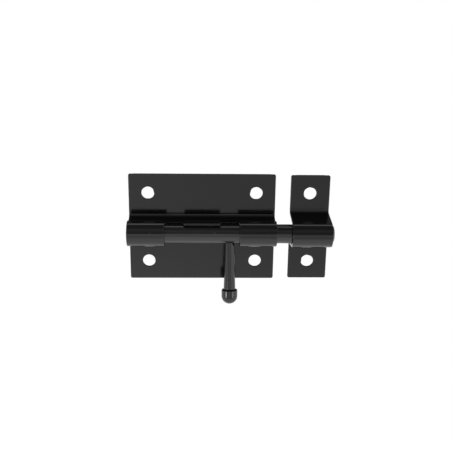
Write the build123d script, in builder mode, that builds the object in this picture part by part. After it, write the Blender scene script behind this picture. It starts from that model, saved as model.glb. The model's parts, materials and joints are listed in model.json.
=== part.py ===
from build123d import *
from math import asin, atan2, cos, hypot, radians, sin, tan
import os

# A lever bolt for a door and its keeper, modelled as they are screwed on with the bolt shot.
# X runs along the throw, +Z is up and -Y points away from the door. Y = 0 is the door's face.
# Sizes are millimetres and angles are degrees.

# Sheet metal
sheet = 1.5
edge_break = 0.3
corner_radius = 1.0
screw_hole = 6.9

# Back plate and its folded tunnel
plate_length = 80.0
plate_height = 60.0
plate_hole_margin = 10.5
knuckle_length = 20.0
notch_length = 10.0
notch_floor = 5.6
upper_lip_rise = 3.0
lower_lip_rise = -2.0
foot_half_width = 6.7
leg_lean = 20.0
foot_bend = 1.5
neck_bend = 1.0

# Bolt rod
rod_diameter = 10.3
rod_height = 11.0
rod_clearance = 0.3
rod_chamfer = 1.0
rod_overhang = 1.2

# Keeper
keeper_gap = 8.2
keeper_width = 21.5
keeper_height = 59.3
keeper_hole_margin = 10.15
keeper_side_play = 0.3
keeper_front_play = 1.25
keeper_foot_half_width = 8.9
keeper_bend = 1.5

# Lever, swung out from the hanging position so that it clears the lower lip
lever_swing = 10.0
lever_reach = 38.4
lever_root_diameter = 4.6
lever_neck_diameter = 6.35
lever_seat_gap = 0.05
knob_diameter = 8.7
knob_grip = 3.8
knob_shoulder = 0.9

# Places worked out from the sizes above
rod_radius = rod_diameter / 2
axis_out = sheet + rod_height
ring_inner = rod_radius + rod_clearance
ring_outer = ring_inner + sheet
notch_place = plate_length / 2 - knuckle_length - notch_length / 2
plate_hole_span = plate_length - 2 * plate_hole_margin
plate_hole_rise = plate_height - 2 * plate_hole_margin
window_length = plate_length - 2 * knuckle_length
window_top = axis_out + 2 * ring_outer
keeper_left = plate_length / 2 + keeper_gap
keeper_centre = keeper_left + keeper_width / 2
keeper_hole_rise = keeper_height / 2 - keeper_hole_margin
keeper_inner = rod_radius + keeper_side_play
keeper_outer = keeper_inner + sheet
keeper_axis_out = axis_out + rod_radius + keeper_front_play - keeper_inner
knob_radius = knob_diameter / 2
ball_centre = lever_reach - knob_radius
knob_start = ball_centre - knob_grip
rod_left = -plate_length / 2
rod_right = keeper_left + keeper_width + rod_overhang

# Cross-sections have local x up the door and local y out from it, and run along X.
section_plane = Plane(origin=(0, 0, 0), x_dir=(0, 0, 1), z_dir=(1, 0, 0))

# The tunnel's windows are drawn from below, with local x along X and local y out from the door.
side_plane = Plane(origin=(0, 0, 0), x_dir=(1, 0, 0), z_dir=(0, 0, -1))

# The lever's half profile has local x across it and local y along it, from the rod's axis.
lever_plane = Plane(
    origin=(notch_place, -axis_out, 0),
    x_dir=(1, 0, 0),
    z_dir=(0, cos(radians(lever_swing)), -sin(radians(lever_swing))),
)


def tunnel_section():
    """Flat flanges with a ring between them, on legs that lean in to a neck narrower than the rod."""
    leg_top = foot_half_width - rod_height * tan(radians(leg_lean))
    with BuildSketch() as section:
        with Locations((0, sheet)):
            Rectangle(2 * plate_height, plate_height, align=(Align.CENTER, Align.MAX))
        with BuildLine():
            Polyline(
                (-foot_half_width, sheet),
                (foot_half_width, sheet),
                (leg_top, axis_out),
                (-leg_top, axis_out),
                close=True,
            )
        make_face()
        with Locations((0, axis_out)):
            Circle(ring_outer)
        inside = section.vertices().filter_by(lambda v: abs(v.X) < plate_height / 2)
        fillet(inside.group_by(Axis.Y)[0], foot_bend)
        necks = section.vertices().filter_by_position(Axis.Y, axis_out - ring_outer, axis_out - sheet)
        fillet(necks, neck_bend)
        offset(amount=-sheet, mode=Mode.SUBTRACT)
        Rectangle(plate_height, window_top, align=(Align.CENTER, Align.MIN), mode=Mode.INTERSECT)
    return section.sketch


def keeper_section():
    """Flat flanges with a round-topped loop between them, on legs that run into its arc."""
    arc_height = keeper_axis_out - sheet
    to_arc = hypot(keeper_foot_half_width, arc_height)
    lean = atan2(keeper_foot_half_width, arc_height) - asin(keeper_outer / to_arc)
    rear_foot = keeper_foot_half_width + sheet * tan(lean) - sheet / cos(lean)
    with BuildSketch() as section:
        Rectangle(keeper_height, sheet, align=(Align.CENTER, Align.MIN))
        with BuildLine() as outside:
            Line((-keeper_foot_half_width, sheet), (keeper_foot_half_width, sheet))
            CenterArc((0, keeper_axis_out), keeper_outer, 0, 180)
        make_hull(outside.edges())
        inner = section.vertices().filter_by(lambda v: abs(v.X) < keeper_height / 2)
        fillet(inner.group_by(Axis.Y)[0], keeper_bend)
        with BuildLine() as hollow:
            Line((-rear_foot, 0), (rear_foot, 0))
            CenterArc((0, keeper_axis_out), keeper_inner, 0, 180)
        make_hull(hollow.edges(), mode=Mode.SUBTRACT)
        inner = section.vertices().filter_by(lambda v: abs(v.X) < keeper_height / 2)
        fillet(inner.group_by(Axis.Y)[0], keeper_bend + sheet)
    return section.sketch


def lever_window(lip_rise):
    """Opening in one side of the tunnel, down to its lip in the middle, with a deep notch at each end."""
    with BuildSketch() as window:
        with Locations((0, window_top)):
            Rectangle(window_length, window_top - axis_out - lip_rise, align=(Align.CENTER, Align.MAX))
        with Locations((-notch_place, window_top), (notch_place, window_top)):
            Rectangle(notch_length, window_top - sheet - notch_floor, align=(Align.CENTER, Align.MAX))
        fillet(window.vertices().filter_by(lambda v: v.Y < axis_out + ring_outer), corner_radius)
    return window.sketch


def cut_edges(piece):
    """Edges between a folded sheet's two skins and its cut faces, without the lines across the sheet."""
    ends = piece.faces().filter_by(Axis.X) + piece.faces().filter_by(Axis.Z)
    tops = piece.faces().filter_by(Axis.Y).filter_by(lambda f: f.center().Y < -sheet - edge_break)
    corners = piece.faces().filter_by(GeomType.CYLINDER)
    corners = corners.filter_by(lambda f: abs(f.axis_of_rotation.direction.X) < 0.5)
    across = piece.edges().filter_by(Axis.Z).filter_by(lambda e: e.length < 2 * sheet)
    across += piece.edges().filter_by(Axis.Y)
    return ShapeList(set((ends + tops + corners).edges()) - set(across))


with BuildPart() as back_plate:
    with BuildSketch(section_plane):
        add(tunnel_section())
    extrude(amount=plate_length / 2, both=True)
    fillet(back_plate.edges().filter_by(Axis.Y), corner_radius)
    with BuildSketch(side_plane):
        add(lever_window(lower_lip_rise))
    extrude(amount=ring_outer, mode=Mode.SUBTRACT)
    with BuildSketch(side_plane):
        add(lever_window(upper_lip_rise))
    extrude(amount=-ring_outer, mode=Mode.SUBTRACT)
    chamfer(cut_edges(back_plate), edge_break)
    with BuildSketch(Plane.XZ):
        with GridLocations(plate_hole_span, plate_hole_rise, 2, 2):
            Circle(screw_hole / 2)
    extrude(amount=sheet, mode=Mode.SUBTRACT)
back_plate.part.label = "back_plate"

with BuildPart() as keeper:
    with BuildSketch(section_plane.offset(keeper_centre)):
        add(keeper_section())
    extrude(amount=keeper_width / 2, both=True)
    fillet(keeper.edges().filter_by(Axis.Y), corner_radius)
    chamfer(cut_edges(keeper), edge_break)
    with BuildSketch(Plane.XZ):
        with Locations((keeper_centre, -keeper_hole_rise), (keeper_centre, keeper_hole_rise)):
            Circle(screw_hole / 2)
    extrude(amount=sheet, mode=Mode.SUBTRACT)
keeper.part.label = "keeper"

with BuildPart() as bolt_rod:
    with BuildSketch(section_plane.offset(rod_left)):
        with Locations((0, axis_out)):
            Circle(rod_radius)
    extrude(amount=rod_right - rod_left)
    chamfer(bolt_rod.edges().filter_by(GeomType.CIRCLE), rod_chamfer)
bolt_rod.part.label = "bolt_rod"

with BuildPart() as lever_handle:
    with BuildSketch(lever_plane) as profile:
        with BuildLine():
            Polyline(
                (0, 0),
                (lever_root_diameter / 2, 0),
                (lever_neck_diameter / 2, knob_start),
                (knob_radius, knob_start),
                (knob_radius, ball_centre),
            )
            CenterArc((0, ball_centre), knob_radius, 0, 90)
            Line((0, lever_reach), (0, 0))
        make_face()
        fillet(profile.vertices().group_by(Axis.X)[-1].sort_by(Axis.Y)[0], knob_shoulder)
    revolve(axis=Axis(lever_plane.origin, lever_plane.y_dir))
    with BuildSketch(section_plane.offset(notch_place)):
        with Locations((0, axis_out)):
            Circle(rod_radius + lever_seat_gap)
    extrude(amount=lever_neck_diameter, both=True, mode=Mode.SUBTRACT)
lever_handle.part.label = "lever_handle"

os.makedirs("parts", exist_ok=True)
for piece in (back_plate, keeper, bolt_rod, lever_handle):
    export_step(piece.part, f"parts/{piece.part.label}.step")
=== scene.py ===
"""Looks of a lever bolt for a door: folded plate, bolt bar, lever and keeper in glossy black paint.

X runs along the bolt's throw, +Z is up the door and -Y points away from the door. Sizes are held in
millimetres and angles in degrees. Meshes are written in metres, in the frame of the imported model.
"""

import json
import logging
from dataclasses import dataclass
from enum import Enum

import bpy
import numpy as np
from mathutils import Matrix, Vector
from mathutils.geometry import delaunay_2d_cdt

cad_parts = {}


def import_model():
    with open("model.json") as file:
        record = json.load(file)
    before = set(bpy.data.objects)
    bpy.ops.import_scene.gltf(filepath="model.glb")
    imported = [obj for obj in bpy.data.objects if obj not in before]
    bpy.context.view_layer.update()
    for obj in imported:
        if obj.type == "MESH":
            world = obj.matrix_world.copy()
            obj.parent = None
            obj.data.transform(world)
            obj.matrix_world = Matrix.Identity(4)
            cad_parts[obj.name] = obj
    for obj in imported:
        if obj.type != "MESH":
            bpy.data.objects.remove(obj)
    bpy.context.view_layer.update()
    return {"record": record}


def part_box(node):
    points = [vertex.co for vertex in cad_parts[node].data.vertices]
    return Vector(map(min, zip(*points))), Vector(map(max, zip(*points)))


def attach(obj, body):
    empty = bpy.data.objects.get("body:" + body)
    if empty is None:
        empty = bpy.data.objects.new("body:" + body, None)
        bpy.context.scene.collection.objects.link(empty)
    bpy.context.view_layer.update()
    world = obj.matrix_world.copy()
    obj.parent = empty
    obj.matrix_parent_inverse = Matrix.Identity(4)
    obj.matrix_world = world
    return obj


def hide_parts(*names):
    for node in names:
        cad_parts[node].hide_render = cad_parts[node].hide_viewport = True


MM = 0.001
SMALLEST = 1e-9
HULL_TRIANGLES = 0  # delaunay_2d_cdt fills the whole convex hull
Array = np.ndarray
Pair = tuple[float, float]
Triple = tuple[float, float, float]
Socket = bpy.types.NodeSocket
Feed = Socket | float | tuple[float, ...]
Entries = dict[str | int, Feed]
log = logging.getLogger("lever_bolt")


class Body(Enum):
    """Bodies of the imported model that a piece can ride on."""

    MOUNTED = "mounted"
    BOLT = "bolt"
    LEVER = "lever"


class Slot(Enum):
    """Material slots of the record."""

    PLATE = "plate_paint"
    ROD = "rod_paint"
    LEVER = "lever_paint"


class Side(Enum):
    """Which side of a closed outline the metal lies on."""

    INSIDE = 1.0
    OUTSIDE = -1.0


class MixKind(Enum):
    """What a Mix node mixes, with the first input and the output that belong to it."""

    NUMBER = ("FLOAT", 2, 0)
    COLOUR = ("RGBA", 6, 2)


def grey(level: float) -> tuple[float, float, float, float]:
    """An opaque grey."""
    return level, level, level, 1.0


@dataclass(frozen=True)
class Grain:
    """How fine a mesh is.

    Args:
        run_step: Longest gap on a straight run.
        arc_step: Largest turn between corners on an arc, in degrees.
    """

    run_step: float
    arc_step: float


@dataclass(eq=False)
class Surface:
    """A closed skin in millimetres.

    Args:
        points: Corner places, one row each.
        normals: Unit vectors out of the metal, one row each.
        triangles: Rows of three corner numbers.
        rim: How far each corner is onto a cut or worn edge, from 0 to 1.
    """

    points: Array
    normals: Array
    triangles: Array
    rim: Array

    def outward(self) -> Array:
        """Triangles, each turned so that it faces the way its corners' normals point.

        Returns:
            Rows of three corner numbers.
        """
        a, b, c = (self.points[self.triangles[:, i]] for i in range(3))
        facing = np.einsum("ij,ij->i", np.cross(b - a, c - a), self.normals[self.triangles].sum(axis=1))
        return np.where(facing[:, None] < 0, self.triangles[:, ::-1], self.triangles)

    def to_object(self, name: str) -> bpy.types.Object:
        """Writes the skin as a smooth mesh object at the origin.

        Args:
            name: Name of the object and of its mesh.

        Returns:
            The linked object.
        """
        triangles = self.outward()
        mesh = bpy.data.meshes.new(name)
        mesh.vertices.add(len(self.points))
        mesh.vertices.foreach_set("co", (self.points * MM).ravel())
        mesh.loops.add(triangles.size)
        mesh.loops.foreach_set("vertex_index", triangles.ravel())
        mesh.polygons.add(len(triangles))
        mesh.polygons.foreach_set("loop_start", np.arange(0, triangles.size, 3))
        mesh.polygons.foreach_set("use_smooth", np.ones(len(triangles), bool))
        mesh.update(calc_edges=True)
        mesh.normals_split_custom_set_from_vertices(self.normals)
        mesh.attributes.new("rim", "FLOAT", "POINT").data.foreach_set("value", self.rim.astype(np.float32))
        piece = bpy.data.objects.new(name, mesh)
        bpy.context.scene.collection.objects.link(piece)
        return piece


@dataclass(frozen=True, eq=False)
class Walk:
    """A flat line walked at unit speed: straight runs and arcs, each tangent to the one before.

    Args:
        start: Where the walk starts.
        heading: First direction, in radians from the first axis towards the second.
        lengths: Length of each stretch.
        turns: How far the heading turns to the left along each stretch, in radians.
    """

    start: Array
    heading: float
    lengths: Array
    turns: Array

    @classmethod
    def rounded(cls, corners: Array, radii: Array, closed: bool) -> "Walk":
        """Follows straight sides and rounds the corners between them.

        An arc of radius r that turns by t starts and ends r tan(t / 2) from its corner.

        Args:
            corners: Corner places in order, one row each.
            radii: Radius at each corner. An open line's two ends take none.
            closed: Whether the last corner leads back to the first.

        Returns:
            The walk, which starts at the first corner, or past its arc on a closed line.
        """
        sides = np.roll(corners, -1, axis=0) - corners
        spans = np.hypot(sides[:, 0], sides[:, 1])
        headings = np.arctan2(sides[:, 1], sides[:, 0])
        turns = headings - np.roll(headings, 1)
        turns = (turns + np.pi) % (2 * np.pi) - np.pi
        if not closed:
            turns[[0, -1]] = 0
        cuts = radii * np.tan(np.abs(turns) / 2)
        runs = spans - cuts - np.roll(cuts, -1)
        arcs = np.roll(radii * np.abs(turns), -1)
        lengths = np.stack([runs, arcs], axis=-1).ravel()
        bends = np.stack([np.zeros_like(turns), np.roll(turns, -1)], axis=-1).ravel()
        if not closed:
            lengths, bends = lengths[:-3], bends[:-3]
        real = lengths > SMALLEST
        unit = sides[0] / spans[0]
        return cls(corners[0] + unit * cuts[0], headings[0], lengths[real], bends[real])

    @classmethod
    def circle(cls, centre: Pair, radius: float) -> "Walk":
        """A full turn to the left round a centre."""
        start = np.array(centre) + (radius, 0)
        return cls(start, np.pi / 2, np.array([2 * np.pi * radius]), np.array([2 * np.pi]))

    @property
    def length(self) -> float:
        """Length of the whole walk."""
        return float(self.lengths.sum())

    def at(self, along: Array) -> tuple[Array, Array]:
        """Places and headings at lengths along the walk.

        A stretch of length u that turns by t ends u sin(t / 2) / (t / 2) away, in the direction half way
        through its turn, and sinc keeps that true for a straight run.

        Args:
            along: Lengths from the start.

        Returns:
            Places, one row each, and headings in radians.
        """
        begins = np.concatenate([[0], np.cumsum(self.lengths)])
        headings = self.heading + np.concatenate([[0], np.cumsum(self.turns)])
        middles = headings[:-1] + self.turns / 2
        chords = self.lengths * np.sinc(self.turns / (2 * np.pi))
        steps = chords[:, None] * np.stack([np.cos(middles), np.sin(middles)], axis=-1)
        corners = np.concatenate([[self.start], self.start + np.cumsum(steps, axis=0)])
        stretch = np.clip(np.searchsorted(begins, along, side="right") - 1, 0, len(self.lengths) - 1)
        past = along - begins[stretch]
        turned = past * self.turns[stretch] / self.lengths[stretch]
        middle = headings[stretch] + turned / 2
        reach = past * np.sinc(turned / (2 * np.pi))
        places = corners[stretch] + reach[:, None] * np.stack([np.cos(middle), np.sin(middle)], axis=-1)
        return places, headings[stretch] + turned

    def stops(self, grain: Grain) -> Array:
        """Lengths along the walk at which to put corners of a mesh.

        Args:
            grain: How fine the mesh is.

        Returns:
            Lengths in order, from the start to just before the end.
        """
        begins = np.concatenate([[0], np.cumsum(self.lengths)])
        counts = np.maximum(np.abs(self.turns) / np.radians(grain.arc_step), 1)
        counts = np.where(self.turns == 0, self.lengths / grain.run_step, counts)
        pieces = [
            np.linspace(a, b, max(1, int(np.ceil(n))), endpoint=False)
            for a, b, n in zip(begins[:-1], begins[1:], counts)
        ]
        return np.concatenate(pieces)


@dataclass(frozen=True, eq=False)
class Outline:
    """A closed edge of a flat sheet.

    Args:
        points: Places along the edge, one row each.
        away: Unit vectors out of the metal, one row each.
    """

    points: Array
    away: Array

    @classmethod
    def along(cls, walk: Walk, metal: Side, grain: Grain) -> "Outline":
        """Puts points along a closed walk to the left.

        Args:
            walk: The edge.
            metal: Which side of the edge the metal is on.
            grain: How close the points are.

        Returns:
            The edge's points and the directions out of the metal.
        """
        places, headings = walk.at(walk.stops(grain))
        right = np.stack([np.sin(headings), -np.cos(headings)], axis=-1)
        return cls(places, right * metal.value)

    def holds(self, places: Array) -> Array:
        """Whether places lie within the outline, by counting the sides that a ray crosses.

        Args:
            places: Places to test, one row each.

        Returns:
            True for each place inside.
        """
        a, b = self.points, np.roll(self.points, -1, axis=0)
        x, y = places[:, :1], places[:, 1:]
        straddles = (a[:, 1] > y) != (b[:, 1] > y)
        rise = np.where(a[:, 1] == b[:, 1], 1, b[:, 1] - a[:, 1])
        crossing = a[:, 0] + (y - a[:, 1]) * (b[:, 0] - a[:, 0]) / rise
        return (straddles & (x < crossing)).sum(axis=1) % 2 == 1


@dataclass(frozen=True, eq=False)
class FoldedSheet:
    """A flat blank with cut edges, folded along a section.

    A place (x, s) of the blank goes to x along the throw and to s along the section's mid-line. The two
    skins stand half a thickness off that line, and a rounded rim joins them along each cut edge.

    Args:
        section: Its mid-line, up the door and out from it, with the outer skin on the right.
        thickness: Sheet thickness.
        edge_radius: Radius of the rounded rims.
        outlines: The outer edge first, then each hole and window.
        grain: How fine the mesh of the skins is.
        rim_steps: Strips on each rounded corner of a rim.
    """

    section: Walk
    thickness: float
    edge_radius: float
    outlines: list[Outline]
    grain: Grain = Grain(run_step=2.5, arc_step=4.0)
    rim_steps: int = 5

    def folded(self, blank: Array, depth: Array) -> tuple[Array, Array, Array]:
        """Folds places of the blank.

        Args:
            blank: Places on the flat blank, one row each.
            depth: How far each place stands off the mid-line, towards the outer skin.

        Returns:
            Places in space, unit vectors out of the outer skin, and unit vectors along the section.
        """
        places, headings = self.section.at(blank[:, 1])
        zero = np.zeros(len(blank))
        normals = np.stack([zero, np.cos(headings), np.sin(headings)], axis=-1)
        tangents = np.stack([zero, -np.sin(headings), np.cos(headings)], axis=-1)
        middle = np.stack([blank[:, 0], -places[:, 1], places[:, 0]], axis=-1)
        return middle + depth[:, None] * normals, normals, tangents

    def skin_blank(self) -> tuple[Array, Array]:
        """Triangles of the flat blank, inside its rims.

        Returns:
            Places on the blank, the outlines' own places first, and rows of three place numbers.
        """
        edges = [edge.points - self.edge_radius * edge.away for edge in self.outlines]
        border = np.concatenate(edges)
        sizes = np.array([len(edge) for edge in edges])
        firsts = np.cumsum(sizes) - sizes
        rings = [first + np.arange(size) for first, size in zip(firsts, sizes)]
        links = np.concatenate([np.stack([ring, np.roll(ring, -1)], axis=-1) for ring in rings])
        low, high = border.min(axis=0), border.max(axis=0)
        columns = np.linspace(low[0], high[0], int((high[0] - low[0]) / self.grain.run_step))
        rows = self.section.stops(self.grain)
        grid = np.stack(np.meshgrid(columns, rows, indexing="ij"), axis=-1).reshape(-1, 2)
        gaps = np.hypot(*(grid[:, None, :] - border[None]).transpose(2, 0, 1)).min(axis=1)
        grid = grid[self.in_metal(grid) & (gaps > self.edge_radius)]
        places = np.concatenate([border, grid])
        _, _, faces, *_ = delaunay_2d_cdt(places.tolist(), links.tolist(), [], HULL_TRIANGLES, SMALLEST)
        triangles = np.array(faces)
        return places, triangles[self.in_metal(places[triangles].mean(axis=1))]

    def in_metal(self, places: Array) -> Array:
        """Whether places of the blank lie inside its outer edge and outside every cut-out.

        Args:
            places: Places to test, one row each.

        Returns:
            True for each place in the metal.
        """
        inside = self.outlines[0].holds(places)
        for cut in self.outlines[1:]:
            inside &= ~cut.holds(places)
        return inside

    def rim_profile(self) -> tuple[Array, Array, Array]:
        """A rim's section, from the outer skin round to the inner one.

        Returns:
            Each place's distance past the cut edge, its depth, and its normal's tilt in radians.
        """
        quarter = np.linspace(0, np.pi / 2, self.rim_steps + 1)
        tilt = np.concatenate([quarter, quarter + np.pi / 2])
        centre = np.repeat([1.0, -1.0], len(quarter)) * (self.thickness / 2 - self.edge_radius)
        return self.edge_radius * (np.sin(tilt) - 1), centre + self.edge_radius * np.cos(tilt), tilt

    def surface(self) -> Surface:
        """The folded sheet's closed skin.

        Returns:
            Both skins and all rims as one surface.
        """
        places, triangles = self.skin_blank()
        count = len(places)
        half = np.full(count, self.thickness / 2)
        outer, normals, _ = self.folded(places, half)
        inner, _, _ = self.folded(places, -half)
        points, directions, rims = [outer, inner], [normals, -normals], [np.zeros(2 * count)]
        faces = [triangles, triangles + count]
        out, depth, tilt = self.rim_profile()
        first, total = 0, 2 * count
        for edge in self.outlines:
            size = len(edge.points)
            ring = np.arange(size)
            moved = edge.points[None] + out[1:-1, None, None] * edge.away[None]
            depths = np.repeat(depth[1:-1], size)
            tilts = np.repeat(tilt[1:-1], size)[:, None]
            shell, normal, along = self.folded(moved.reshape(-1, 2), depths)
            away = np.tile(edge.away, (len(out) - 2, 1))
            across = away[:, :1] * np.array([1.0, 0, 0]) + away[:, 1:] * along
            points.append(shell)
            directions.append(np.cos(tilts) * normal + np.sin(tilts) * across)
            rims.append(np.sin(tilts).ravel())
            inner_rows = total + np.arange(len(out) - 2)[:, None] * size + ring
            rows = np.concatenate([[first + ring], inner_rows, [count + first + ring]])
            faces.append(quads_to_triangles(rows))
            first, total = first + size, total + len(shell)
        return Surface(*(np.concatenate(part) for part in (points, directions, faces, rims)))


def quads_to_triangles(rows: Array) -> Array:
    """Splits the cells of a grid of corner numbers, which is closed round its rows, into triangles.

    Args:
        rows: Corner numbers, one row of the grid each.

    Returns:
        Rows of three corner numbers.
    """
    ahead = np.roll(rows, -1, axis=1)
    a, b, c, d = rows[:-1], ahead[:-1], ahead[1:], rows[1:]
    return np.concatenate([np.stack([a, b, c], axis=-1), np.stack([a, c, d], axis=-1)]).reshape(-1, 3)


@dataclass(frozen=True, eq=False)
class Turning:
    """A profile turned about a line.

    A place (h, r) of the profile goes h along the line and r away from it, at each angle round it.

    Args:
        profile: Half section along the line and away from it, from one end on the line to the other.
        origin: Where the line starts.
        axis: Unit vector along the line.
        side: Unit vector across the line, from which angles are counted.
        grain: How fine the mesh is along the profile.
        around: Number of columns of the mesh.
    """

    profile: Walk
    origin: Array
    axis: Array
    side: Array
    grain: Grain = Grain(run_step=1.0, arc_step=6.0)
    around: int = 96

    def grid(self) -> tuple[Array, Array, Array]:
        """The profile's lengths along and away from the line, and the angles round it.

        Returns:
            Along and away as columns, without the ends, and angles as a row.
        """
        places, _ = self.profile.at(self.profile.stops(self.grain)[1:])
        angles = np.linspace(0, 2 * np.pi, self.around, endpoint=False)
        return places[:, :1], places[:, 1:], angles[None]

    def bends(self) -> Array:
        """Which rows of the grid lie on an arc of the profile.

        Returns:
            1 for each row on an arc and 0 for the others, as a column.
        """
        stops = self.profile.stops(self.grain)[1:]
        begins = np.cumsum(self.profile.lengths) - self.profile.lengths
        stretch = np.searchsorted(begins, stops + SMALLEST, side="right") - 1
        return (self.profile.turns[stretch] != 0).astype(float)[:, None]

    def surface(self, along: Array, away: Array, angles: Array, rim: Array) -> Surface:
        """Closes a grid of places round the line with a pole at each end.

        Args:
            along: Lengths along the line, as a column or for the whole grid.
            away: Lengths away from the line, as a column.
            angles: Angles round the line, as a row.
            rim: Worn share of each row, as a column.

        Returns:
            The closed skin.
        """
        across = np.cross(self.axis, self.side)
        spoke = np.cos(angles)[..., None] * self.side + np.sin(angles)[..., None] * across
        grid = self.origin + along[..., None] * self.axis + away[..., None] * spoke
        ends = self.profile.at(np.array([0.0, self.profile.length]))[0]
        poles = self.origin + ends[:, :1] * self.axis
        caps = np.tile(poles[:, None], (1, self.around, 1))
        lengthwise = np.gradient(np.concatenate([caps[:1], grid, caps[1:]]), axis=0)[1:-1]
        wrapped = np.concatenate([grid[:, -1:], grid, grid[:, :1]], axis=1)
        sideways = np.gradient(wrapped, axis=1)[:, 1:-1]
        normals = np.cross(sideways, lengthwise)
        normals /= np.linalg.norm(normals, axis=-1, keepdims=True)
        count = grid.shape[0] * self.around
        rows = np.arange(count).reshape(-1, self.around)
        ring = np.stack([rows[0], np.roll(rows[0], -1), np.full(self.around, count)], axis=-1)
        tail = np.stack([rows[-1], np.roll(rows[-1], -1), np.full(self.around, count + 1)], axis=-1)
        return Surface(
            np.concatenate([grid.reshape(-1, 3), poles]),
            np.concatenate([normals.reshape(-1, 3), [-self.axis, self.axis]]),
            np.concatenate([quads_to_triangles(rows), ring, tail]),
            np.concatenate([np.repeat(rim.ravel(), self.around), [0.0, 0.0]]),
        )


@dataclass(frozen=True)
class NodeTree:
    """Short forms for wiring a node tree.

    Args:
        tree: The tree that nodes are added to.
    """

    tree: bpy.types.NodeTree

    def feed(self, node: bpy.types.Node, entries: Entries) -> None:
        """Gives inputs of a node constants or other nodes' outputs.

        Args:
            node: The node.
            entries: What each of the inputs gets.
        """
        for entry, value in entries.items():
            if isinstance(value, Socket):
                self.tree.links.new(value, node.inputs[entry])
            else:
                node.inputs[entry].default_value = value

    def add(self, kind: str, entries: Entries | None = None, **options: str | bool) -> bpy.types.Node:
        """Adds a node.

        Args:
            kind: Kind of node.
            entries: What its inputs get.
            options: Its settings.

        Returns:
            The node.
        """
        node = self.tree.nodes.new(kind)
        for option, choice in options.items():
            setattr(node, option, choice)
        self.feed(node, entries or {})
        return node

    def math(self, operation: str, *values: Feed, clamp: bool = False) -> Socket:
        """Adds a sum, which is kept between 0 and 1 if it is clamped."""
        entries = dict(enumerate(values))
        return self.add("ShaderNodeMath", entries, operation=operation, use_clamp=clamp).outputs[0]

    def noise(self, place: Socket, size: float, detail: float) -> Socket:
        """Adds a noise with patches of a width in millimetres, and with a number of finer layers."""
        entries = {"Vector": place, "Scale": 1 / (size * MM), "Detail": detail}
        return self.add("ShaderNodeTexNoise", entries).outputs["Fac"]

    def ramp(self, value: Socket, start: Pair, end: Pair) -> Socket:
        """Adds a smooth step that takes the first range's two ends to the second range's."""
        entries = dict(zip(("Value", "From Min", "From Max", "To Min", "To Max"), (value, *start, *end)))
        return self.add("ShaderNodeMapRange", entries, interpolation_type="SMOOTHSTEP").outputs["Result"]

    def mix(self, kind: MixKind, share: Socket, low: Feed, high: Feed) -> Socket:
        """Adds a mix that goes from the low value to the high one as the share goes from 0 to 1."""
        data, first, out = kind.value
        return self.add("ShaderNodeMix", {0: share, first: low, first + 1: high}, data_type=data).outputs[out]

    def steps(self, value: Socket, stops: tuple[Pair, ...], limit: float) -> Socket:
        """Adds a grey level that runs straight from stop to stop.

        Args:
            value: What the level depends on.
            stops: Values and their grey levels, in rising order.
            limit: The values lie between this and its negative.

        Returns:
            The grey level.
        """
        share = self.add("ShaderNodeMapRange", {"Value": value, "From Min": -limit, "From Max": limit})
        levels = self.add("ShaderNodeValToRGB", {"Fac": share.outputs["Result"]})
        elements = levels.color_ramp.elements
        elements.remove(elements[1])
        for index, (place, level) in enumerate(stops):
            stop = elements.new(1.0) if index else elements[0]
            stop.position = (place / limit + 1) / 2
            stop.color = grey(level)
        return levels.outputs["Color"]


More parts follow.
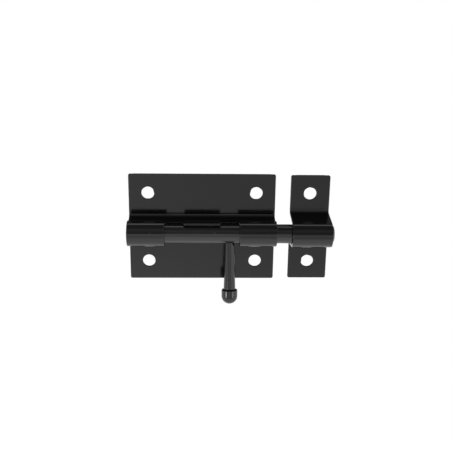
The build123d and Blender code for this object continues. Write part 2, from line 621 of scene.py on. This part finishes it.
@dataclass(frozen=True)
class Paint:
    """Glossy black paint on steel, with a slight orange peel, and thin where the metal is rubbed.

    Sizes are in millimetres. Levels are those of a noise that runs from 0 to 1.

    Args:
        name: Name of the material.
        roughness: Lowest and highest roughness of the sound paint.
        cloud_size: Width of the patches in which the gloss varies.
        wave_size: Width of the slow waves under the paint.
        proud: Distance from the door beyond which a surface gets rubbed.
        rub: How strongly specks are rubbed there, from 0 to 1.
        wave_height: Height of the slow waves.
        streak: Length of the clouds and waves along the throw against their width.
        edge_wear: Share of a cut edge that is rubbed, from 0 to 1.
        ior: Index of refraction of the gloss.
        colour: Colour of the sound paint.
        worn_colour: Colour of the thin film that rubbing leaves.
        worn_roughness: Roughness of that film.
        peel_size: Width of the orange peel's ripples.
        peel_height: Height of those ripples.
        cloud_levels: Levels of the lowest and the highest roughness.
        fret_size: Width of the rubbed patches on a cut edge.
        fret_levels: Levels at which a patch starts and is full, without wear.
        fret_gain: How far full wear lowers the first of them.
        speck_size: Width of the specks.
        speck_levels: Levels at which a speck starts and is full.
        proud_fade: Depth over which the specks fade in.
    """

    name: str
    roughness: Pair
    cloud_size: float
    wave_size: float
    proud: float
    rub: float
    wave_height: float = 0.012
    streak: float = 1.0
    edge_wear: float = 0.3
    ior: float = 1.6
    colour: Triple = (0.0060, 0.0060, 0.0065)
    worn_colour: Triple = (0.035, 0.034, 0.033)
    worn_roughness: float = 0.38
    peel_size: float = 1.1
    peel_height: float = 0.0012
    cloud_levels: Pair = (0.3, 0.7)
    fret_size: float = 2.2
    fret_levels: Pair = (0.62, 0.7)
    fret_gain: float = 0.3
    speck_size: float = 3.2
    speck_levels: Pair = (0.66, 0.74)
    proud_fade: float = 1.0

    def material(self) -> bpy.types.Material:
        """Builds the finish as a node material.

        Returns:
            The material.
        """
        material = bpy.data.materials.new(self.name)
        material.use_nodes = True
        tree = NodeTree(material.node_tree)
        place = tree.add("ShaderNodeTexCoord").outputs["Object"]
        stretch = {"Vector": place, "Scale": (1 / self.streak, 1, 1)}
        streaked = tree.add("ShaderNodeMapping", stretch).outputs["Vector"]
        clouds = tree.noise(streaked, self.cloud_size, detail=4.0)
        gloss = tree.ramp(clouds, self.cloud_levels, self.roughness)
        waves = tree.noise(streaked, self.wave_size, detail=1.0)
        swell = tree.add("ShaderNodeBump", {"Height": waves, "Distance": self.wave_height * MM})
        peel = tree.noise(place, self.peel_size, detail=2.0)
        ripples = {"Height": peel, "Distance": self.peel_height * MM, "Normal": swell.outputs["Normal"]}
        bump = tree.add("ShaderNodeBump", ripples)
        worn = self.worn(tree, place)
        tree.feed(material.node_tree.nodes["Principled BSDF"], {
            "Base Color": tree.mix(MixKind.COLOUR, worn, self.colour + (1.0,), self.worn_colour + (1.0,)),
            "Roughness": tree.mix(MixKind.NUMBER, worn, gloss, self.worn_roughness),
            "IOR": self.ior,
            "Normal": bump.outputs["Normal"],
        })
        return material

    def worn(self, tree: NodeTree, place: Socket) -> Socket:
        """Adds how far the paint is rubbed: patches along cut edges and specks on what stands proud.

        Args:
            tree: The material's tree.
            place: Coordinates on the piece.

        Returns:
            The rubbed share, from 0 to 1.
        """
        fret = tree.noise(place, self.fret_size, detail=6.0)
        fret_start = self.fret_levels[0] - self.fret_gain * self.edge_wear
        patches = tree.ramp(fret, (fret_start, self.fret_levels[1]), (0.0, 1.0))
        edge = tree.add("ShaderNodeAttribute", attribute_name="rim").outputs["Fac"]
        on_edges = tree.math("MULTIPLY", edge, patches)
        depth = tree.add("ShaderNodeSeparateXYZ", {0: place}).outputs["Y"]
        proud = tree.ramp(depth, (-(self.proud + self.proud_fade) * MM, -self.proud * MM), (1.0, 0.0))
        spots = tree.noise(place, self.speck_size, detail=5.0)
        specks = tree.ramp(spots, self.speck_levels, (0.0, self.rub))
        return tree.math("MULTIPLY_ADD", proud, specks, on_edges, clamp=True)


@dataclass(frozen=True)
class Frame:
    """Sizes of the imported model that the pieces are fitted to, in millimetres.

    Args:
        record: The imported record.
    """

    record: dict

    @staticmethod
    def box(node: str) -> tuple[Array, Array]:
        """Lowest and highest corner of a node."""
        low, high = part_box(node)
        return np.array(low) / MM, np.array(high) / MM

    def pivot(self, joint: str) -> Array:
        """Place of a hinge."""
        found = next(j for j in self.record["behaviour"]["joints"] if j["name"] == joint)
        return np.array(found["pos_m"]) / MM

    def holes(self, mount: str) -> tuple[list[Pair], float]:
        """Screw holes of a mount that lies on the door's face.

        Args:
            mount: Name of the mount.

        Returns:
            Places of the holes along the throw and up the door, and their radius.
        """
        found = next(m for m in self.record["mounts"] if m["name"] == mount)
        sizes = found["dims"]
        middle = np.array(found["pos_m"]) / MM
        across = sizes.get("spacing_x_mm", 0.0) / 2
        rise = sizes["spacing_y_mm"] / 2
        columns = sorted({-across, across})
        places = [(middle[0] + x, middle[2] + z) for x in columns for z in (-rise, rise)]
        return places, sizes["hole_r_mm"]


@dataclass(frozen=True)
class Stock:
    """The sheet that the plate and the keeper are cut from.

    Args:
        thickness: Sheet thickness.
        corner_radius: Radius of the cut corners.
        edge_radius: Radius of the dulled edges.
        grain: How fine the mesh is along a cut edge.
    """

    thickness: float = 1.5
    corner_radius: float = 1.0
    edge_radius: float = 0.4
    grain: Grain = Grain(run_step=0.4, arc_step=9.0)

    def edge(self, corners: Array, metal: Side) -> Outline:
        """A cut edge round corners that all have the stock's radius."""
        walk = Walk.rounded(corners, np.full(len(corners), self.corner_radius), closed=True)
        return Outline.along(walk, metal, self.grain)

    def hole(self, centre: Pair, radius: float) -> Outline:
        """A round hole's edge."""
        return Outline.along(Walk.circle(centre, radius), Side.OUTSIDE, self.grain)

    def leg_foot(self, half_width: float, lean: float) -> Array:
        """Where a leg's mid-line would meet the flange's, half a sheet inside the outer skins.

        Args:
            half_width: Place on the flange's front where the leg's outer skin rises.
            lean: How far the leg leans in, in radians.

        Returns:
            The place, up the door and out from it.
        """
        half = self.thickness / 2
        return np.array([half_width + half * np.tan(lean) - half / np.cos(lean), half])

    def section(self, top: float, leg: Triple, arc: Pair, neck: Pair = (0.0, 0.0)) -> Walk:
        """Mid-line of a sheet folded round the bolt: a flange, a leg, an arc, and the same back.

        Args:
            top: Height of the upper edge.
            leg: Where its outer skin leaves the flange, its bend there, and its lean in radians.
            arc: How far the arc's centre is out from the door, and its radius.
            neck: Radius and turn of a bend the other way between the leg and the arc.

        Returns:
            The walk, up the door and out from it.
        """
        half_width, bend, lean = leg
        (centre, radius), (neck_radius, neck_turn) = arc, neck
        half = self.thickness / 2
        foot = bend + half
        corner = self.leg_foot(half_width, lean)
        foot_turn = np.pi / 2 - lean
        cut = foot * np.tan(foot_turn / 2)
        rise = (np.array([0.0, centre]) - corner) @ np.array([-np.sin(lean), np.cos(lean)])
        rise = rise - (radius + neck_radius) * np.sin(neck_turn) - cut
        arc_turn = 2 * (foot_turn + neck_turn)
        lengths = [top - corner[0] - cut, foot * foot_turn, rise, neck_radius * neck_turn]
        turns = [0.0, -foot_turn, 0.0, -neck_turn]
        lengths = np.array(lengths + [radius * arc_turn] + lengths[::-1])
        turns = np.array(turns + [arc_turn] + turns[::-1])
        real = lengths > SMALLEST
        return Walk(np.array([top, half]), np.pi, lengths[real], turns[real])

    def fold(self, frame: Frame, node: str, mount: str, section: Walk, windows: list[Outline]) -> Surface:
        """Cuts a blank with its screw holes and folds it.

        Args:
            frame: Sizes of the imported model.
            node: Node that it stands for.
            mount: Mount of its screw holes.
            section: Its folded section, which starts and ends with a flat flange.
            windows: Its other cut-outs.

        Returns:
            The sheet's closed skin.
        """
        low, high = frame.box(node)
        top, whole = high[2], section.length
        outside = np.array([(low[0], 0), (high[0], 0), (high[0], whole), (low[0], whole)])
        edges = [self.edge(outside, Side.INSIDE), *windows]
        places, radius = frame.holes(mount)
        for x, z in places:
            along = top - z if z > 0 else whole - top - z
            edges.append(self.hole((x, along), radius))
        return FoldedSheet(section, self.thickness, self.edge_radius, edges).surface()


@dataclass(frozen=True, eq=False)
class BackPlate:
    """One sheet with two screw flanges and a folded tunnel between them.

    The tunnel is a ring on legs that lean in. It is whole in the knuckle at each end. Between the knuckles
    only its lips are left, with a notch beside each knuckle for the lever. The lips' rises count from the
    bar's axis, the notch floor from the flanges' front, and the bends are radii of the outer skin.
    """

    frame: Frame
    stock: Stock
    knuckle_length: float = 20.0
    notch_length: float = 10.0
    notch_floor: float = 5.6
    upper_lip_rise: float = 3.0
    lower_lip_rise: float = -2.0
    foot_half_width: float = 6.7
    leg_lean: float = 20.0
    foot_bend: float = 1.5
    neck_bend: float = 1.0
    trace_steps: int = 4000

    def section(self) -> Walk:
        """Mid-line from the upper edge over the ring to the lower edge.

        The neck's arc touches the leg and the ring from outside, so its centre is one neck radius off the
        leg and the sum of both radii off the ring's centre, and that gives the turn between them.

        Returns:
            The walk, up the door and out from it.
        """
        low, high = self.frame.box("back_plate")
        axis = -self.frame.pivot("lever_turn")[1]
        half = self.stock.thickness / 2
        lean = np.radians(self.leg_lean)
        ring, neck = -low[1] - axis - half, self.neck_bend + half
        to_axis = np.array([0.0, axis]) - self.stock.leg_foot(self.foot_half_width, lean)
        off_leg = to_axis @ np.array([-np.cos(lean), -np.sin(lean)])
        neck_turn = np.arccos((off_leg + neck) / (ring + neck))
        leg = (self.foot_half_width, self.foot_bend, lean)
        return self.stock.section(high[2], leg, (axis, ring), (neck, neck_turn))

    def window(self, section: Walk) -> Outline:
        """Edge of the lever's window in the flat blank, with a notch at each end of both its sides.

        Args:
            section: The folded section.

        Returns:
            The edge.
        """
        _, high = self.frame.box("back_plate")
        axis = -self.frame.pivot("lever_turn")[1]
        whole = section.length
        half_way = np.linspace(section.lengths[0], whole / 2, self.trace_steps)
        out = section.at(half_way)[0][:, 1]
        lips = np.interp([axis + self.upper_lip_rise, axis + self.lower_lip_rise], out, half_way)
        floor = np.interp(self.stock.thickness + self.notch_floor, out, half_way)
        end = high[0] - self.knuckle_length
        tab = end - self.notch_length
        sides = []
        for lip in lips:
            quarter = np.array([(-end, floor), (-tab, floor), (-tab, lip)])
            sides.append(np.concatenate([quarter, quarter[::-1] * (-1, 1)]))
        corners = np.concatenate([sides[0], np.array([0, whole]) + sides[1][::-1] * (1, -1)])
        return self.stock.edge(corners, Side.OUTSIDE)

    def surface(self) -> Surface:
        """The plate's closed skin."""
        section = self.section()
        return self.stock.fold(self.frame, "back_plate", "plate_screws", section, [self.window(section)])


@dataclass(frozen=True, eq=False)
class Keeper:
    """A strap folded into a loop for the bolt, on two screw flanges. Its bend is the outer skin's."""

    frame: Frame
    stock: Stock
    loop_inner: float = 5.45
    foot_half_width: float = 8.9
    foot_bend: float = 1.5

    def section(self) -> Walk:
        """Mid-line from the upper edge over the loop to the lower edge.

        The leg's outer skin runs from the flange's front to touch the loop's arc, which gives its lean.

        Returns:
            The walk, up the door and out from it.
        """
        low, high = self.frame.box("keeper")
        outer = self.loop_inner + self.stock.thickness
        centre = -low[1] - outer
        rise = centre - self.stock.thickness
        lean = np.arctan2(self.foot_half_width, rise)
        lean -= np.arcsin(outer / np.hypot(self.foot_half_width, rise))
        leg = (self.foot_half_width, self.foot_bend, lean)
        return self.stock.section(high[2], leg, (centre, outer - self.stock.thickness / 2))

    def surface(self) -> Surface:
        """The keeper's closed skin."""
        return self.stock.fold(self.frame, "keeper", "keeper_screws", self.section(), [])


@dataclass(frozen=True, eq=False)
class BoltRod:
    """The round bar that slides, with a chamfer at each end."""

    frame: Frame
    chamfer: float = 1.0
    edge_radius: float = 0.3

    def surface(self) -> Surface:
        """Turns the bar about its own axis.

        Returns:
            The bar's closed skin.
        """
        low, high = self.frame.box("bolt_rod")
        radius = (high[2] - low[2]) / 2
        length = high[0] - low[0]
        half = np.array([(0, 0), (0, radius - self.chamfer), (self.chamfer, radius)])
        corners = np.concatenate([half, np.array([length, 0]) + half[::-1] * (-1, 1)])
        profile = Walk.rounded(corners, np.full(len(corners), self.edge_radius), closed=False)
        origin = np.array([low[0], (low[1] + high[1]) / 2, (low[2] + high[2]) / 2])
        turning = Turning(profile, origin, np.array([1.0, 0, 0]), np.array([0, 0, 1.0]))
        along, away, angles = turning.grid()
        return turning.surface(along, away, angles, turning.bends())


@dataclass(frozen=True, eq=False)
class LeverHandle:
    """The tapered lever with its round knob, standing on the bar.

    Its foot follows the bar: at an angle a round the lever, a place r from its line stands
    sqrt(R R - (r sin a)(r sin a)) from the bar's axis, where R is the seat's radius. The taper has its root
    diameter at that axis and its neck diameter at the knob. The reach runs from that axis to the tip.
    """

    frame: Frame
    swing: float = 10.0
    reach: float = 38.4
    root_diameter: float = 4.6
    neck_diameter: float = 6.35
    seat_radius: float = 5.2
    seat_blend: float = 4.0
    knob_diameter: float = 8.7
    knob_grip: float = 3.8
    knob_shoulder: float = 0.9
    neck_fillet: float = 0.18
    foot_edge: float = 0.1

    def surface(self) -> Surface:
        """Turns the lever about its own line and fits its foot to the bar.

        Returns:
            The lever's closed skin.
        """
        seat, tip, knob = self.seat_radius, self.reach, self.knob_diameter / 2
        root, neck = self.root_diameter / 2, self.neck_diameter / 2
        start = tip - knob - self.knob_grip
        foot = root + (neck - root) * seat / start
        corners = np.array([(seat, 0), (seat, foot), (start, neck), (start, knob), (tip, knob), (tip, 0)])
        radii = np.array([0, self.foot_edge, self.neck_fillet, self.knob_shoulder, knob, 0])
        swing = np.radians(self.swing)
        turning = Turning(
            Walk.rounded(corners, radii, closed=False),
            self.frame.pivot("lever_turn"),
            np.array([0, -np.sin(swing), -np.cos(swing)]),
            np.array([1.0, 0, 0]),
        )
        along, away, angles = turning.grid()
        sunk = np.sqrt(seat**2 - (np.minimum(away, seat) * np.sin(angles)) ** 2)
        share = np.clip(1 - (along - seat) / self.seat_blend, 0, 1) ** 2
        fitted = along + share * (sunk - seat)
        return turning.surface(fitted, away, angles, 0 * away)


PLATE_PAINT = Paint("plate_black_gloss", (0.09, 0.15), cloud_size=18.0, wave_size=7.0, proud=17.5, rub=0.5)
ROD_PAINT = Paint(
    "rod_black_gloss", (0.12, 0.26), cloud_size=2.5, wave_size=6.0, proud=16.0, rub=0.5, wave_height=0.03,
    streak=14.0, edge_wear=0.6, ior=1.7, worn_colour=(0.045, 0.044, 0.042),
)
LEVER_PAINT = Paint("lever_black_gloss", (0.08, 0.14), cloud_size=9.0, wave_size=6.0, proud=16.0, rub=0.35)


@dataclass(frozen=True)
class Lamp:
    """A round soft lamp aimed at the bolt.

    Args:
        name: Name of the lamp.
        towards: Direction from the bolt to the lamp.
        distance: How far off it hangs, in metres.
        diameter: Its width, in metres.
        power: Its power, in watts.
    """

    name: str
    towards: Triple
    distance: float
    diameter: float
    power: float

    def hang(self, aim: Vector) -> None:
        """Adds the lamp.

        Args:
            aim: Place that it faces, in metres.
        """
        light = bpy.data.lights.new(self.name, "AREA")
        light.shape = "DISK"
        light.size = self.diameter
        light.energy = self.power
        lamp = bpy.data.objects.new(self.name, light)
        direction = Vector(self.towards).normalized()
        lamp.location = aim + direction * self.distance
        lamp.rotation_euler = direction.to_track_quat("Z", "Y").to_euler()
        lamp.visible_camera = False
        bpy.context.scene.collection.objects.link(lamp)


@dataclass(frozen=True)
class Studio:
    """Surround with bands of light and shade, two soft lamps, a pale floor and the camera.

    Args:
        focal_pixels: Focal length in pixels of the picture.
        picture_pixels: Width of the square picture.
        sensor: Width of the camera's sensor, in millimetres.
        clip_start: Nearest distance shown, in metres.
        pitch: How far the camera looks down, in degrees.
        yaw: How far it stands to the right of the plate's front, in degrees.
        roll: How far it is turned about its line of sight, in degrees.
        aim: Place that the middle of the picture shows, in millimetres.
        distance: How far the camera is from that place, in millimetres.
        floor_drop: How far the floor lies below the origin, in metres.
        floor_width: Its width, in metres.
        floor_front: How far it reaches in front of the door, in metres.
        floor_glow: The floor's own light, to the camera and in gloss.
        floor_shade: Grey that takes the shadow there.
        floor_grey: Grey of the floor to all other light.
        bands: Brightness of the surround against the height at which the bolt sees it, in degrees: 0 is
            level in front of the door, 90 is straight up and 180 is level behind it.
        sides: Factor on that brightness against the direction's share to the right, from -1 to 1.
        lamps: The two soft lamps.
    """

    focal_pixels: float = 712.0
    picture_pixels: float = 452.0
    sensor: float = 36.0
    clip_start: float = 0.01
    pitch: float = 17.4
    yaw: float = -1.74
    roll: float = 0.73
    aim: Triple = (13.18, -1.5, 0.86)
    distance: float = 393.0
    floor_drop: float = 0.12
    floor_width: float = 12.0
    floor_front: float = 0.2
    floor_glow: float = 0.9
    floor_shade: float = 0.42
    floor_grey: float = 0.85
    bands: tuple[Pair, ...] = (
        (-180, 0.7), (-60, 0.95), (-30, 0.88), (-22, 0.8), (-17, 0.61), (-12, 0.6), (-4, 0.74), (8, 0.82),
        (14, 0.18), (28, 0.17), (43, 0.28), (54, 0.25), (65, 0.12), (100, 0.12), (103, 1.1), (112, 1.1),
        (115, 0.14), (180, 0.14),
    )
    sides: tuple[Pair, ...] = (
        (-1.0, 1.3), (-0.7, 0.9), (-0.3, 0.92), (-0.15, 1.13), (0.15, 0.86), (0.3, 0.9), (0.6, 1.4),
        (1.0, 1.8),
    )
    lamps: tuple[Lamp, ...] = (
        Lamp("lamp_left", (-0.735, -0.67, -0.185), distance=0.6, diameter=0.1, power=0.25),
        Lamp("lamp_right", (0.723, -0.682, -0.17), distance=0.6, diameter=0.055, power=0.075),
    )

    def build(self) -> None:
        """Adds the floor, the surround, the lamps and the camera."""
        self.lay_floor()
        self.paint_surround()
        for lamp in self.lamps:
            lamp.hang(Vector(self.aim) * MM)
        self.place_camera()
        bpy.context.scene.view_settings.view_transform = "Standard"

    def lay_floor(self) -> None:
        """Lays a flat floor under the bolt, from a little in front of it to far behind it."""
        half, front, down = self.floor_width / 2, -self.floor_front, -self.floor_drop
        corners = [(-half, front, down), (half, front, down), (half, half, down), (-half, half, down)]
        mesh = bpy.data.meshes.new("floor")
        mesh.from_pydata(corners, [], [(0, 1, 2, 3)])
        mesh.materials.append(self.floor_material())
        floor = bpy.data.objects.new("floor", mesh)
        bpy.context.scene.collection.objects.link(floor)

    def floor_material(self) -> bpy.types.Material:
        """Builds a finish that looks white, with a faint shadow, to the camera and in gloss.

        Returns:
            The material.
        """
        material = bpy.data.materials.new("pale_floor")
        material.use_nodes = True
        material.node_tree.nodes.clear()
        tree = NodeTree(material.node_tree)
        path = tree.add("ShaderNodeLightPath").outputs
        seen = tree.math("MAXIMUM", path["Is Camera Ray"], path["Is Glossy Ray"])
        seen = tree.math("MAXIMUM", seen, path["Is Transmission Ray"])
        matt = tree.add("ShaderNodeBsdfDiffuse", {"Color": grey(self.floor_shade)})
        glow = tree.add("ShaderNodeEmission", {"Strength": self.floor_glow})
        both = tree.add("ShaderNodeAddShader", {0: matt.outputs[0], 1: glow.outputs[0]})
        plain = tree.add("ShaderNodeBsdfDiffuse", {"Color": grey(self.floor_grey)})
        choice = tree.add("ShaderNodeMixShader", {0: seen, 1: plain.outputs[0], 2: both.outputs[0]})
        tree.add("ShaderNodeOutputMaterial", {"Surface": choice.outputs[0]})
        return material

    def paint_surround(self) -> None:
        """Gives the surround its bands of light, which only the bolt sees: to the camera it is white."""
        world = bpy.data.worlds.new("studio")
        world.use_nodes = True
        world.node_tree.nodes.clear()
        tree = NodeTree(world.node_tree)
        towards = tree.add("ShaderNodeTexCoord").outputs["Generated"]
        x, y, z = tree.add("ShaderNodeSeparateXYZ", {0: towards}).outputs
        height = tree.math("ARCTAN2", z, tree.math("MULTIPLY", y, -1.0))
        stops = tuple((np.radians(angle), light) for angle, light in self.bands)
        lit = tree.math("MULTIPLY", tree.steps(height, stops, np.pi), tree.steps(x, self.sides, 1.0))
        seen = tree.math("MAXIMUM", lit, tree.add("ShaderNodeLightPath").outputs["Is Camera Ray"])
        sky = tree.add("ShaderNodeBackground", {"Color": grey(1.0), "Strength": seen})
        tree.add("ShaderNodeOutputWorld", {"Surface": sky.outputs[0]})
        bpy.context.scene.world = world

    def place_camera(self) -> None:
        """Places the camera where its axes follow from yaw, pitch and roll, looking at the aim."""
        pitch, yaw, roll = np.radians([self.pitch, self.yaw, self.roll])
        back = Vector((np.sin(yaw) * np.cos(pitch), -np.cos(yaw) * np.cos(pitch), np.sin(pitch)))
        level = Vector((np.cos(yaw), np.sin(yaw), 0))
        rise = back.cross(level)
        right = np.cos(roll) * level + np.sin(roll) * rise
        up = np.cos(roll) * rise - np.sin(roll) * level
        lens = bpy.data.cameras.new("camera")
        lens.sensor_width = self.sensor
        lens.lens = self.focal_pixels / self.picture_pixels * self.sensor
        lens.clip_start = self.clip_start
        camera = bpy.data.objects.new("camera", lens)
        turn = Matrix((right, up, back)).transposed().to_4x4()
        camera.matrix_world = Matrix.Translation((Vector(self.aim) + back * self.distance) * MM) @ turn
        bpy.context.scene.collection.objects.link(camera)
        bpy.context.scene.camera = camera


@dataclass(frozen=True, eq=False)
class Piece:
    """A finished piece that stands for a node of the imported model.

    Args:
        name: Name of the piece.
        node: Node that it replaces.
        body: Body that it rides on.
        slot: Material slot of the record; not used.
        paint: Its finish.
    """

    name: str
    node: str
    body: Body
    slot: Slot
    paint: Paint

    def show(self, surface: Surface) -> None:
        """Writes the piece's mesh, paints it and puts it on its body.

        Args:
            surface: The piece's closed skin.
        """
        piece = surface.to_object(self.name)
        piece.data.materials.append(self.paint.material())
        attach(piece, self.body.value)
        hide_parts(self.node)
        log.info("%s rides on %s with %d triangles", self.name, self.body.value, len(surface.triangles))


def main() -> None:
    """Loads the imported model, builds each piece around it and lights it."""
    logging.basicConfig(level=logging.INFO, format="%(message)s")
    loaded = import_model()
    frame, stock = Frame(loaded["record"]), Stock()
    pieces = (
        (Piece("folded_plate", "back_plate", Body.MOUNTED, Slot.PLATE, PLATE_PAINT), BackPlate(frame, stock)),
        (Piece("keeper_strap", "keeper", Body.MOUNTED, Slot.PLATE, PLATE_PAINT), Keeper(frame, stock)),
        (Piece("bolt_bar", "bolt_rod", Body.BOLT, Slot.ROD, ROD_PAINT), BoltRod(frame)),
        (Piece("knobbed_lever", "lever_handle", Body.LEVER, Slot.LEVER, LEVER_PAINT), LeverHandle(frame)),
    )
    for piece, shape in pieces:
        piece.show(shape.surface())
    Studio().build()


if __name__ == "__main__":
    main()
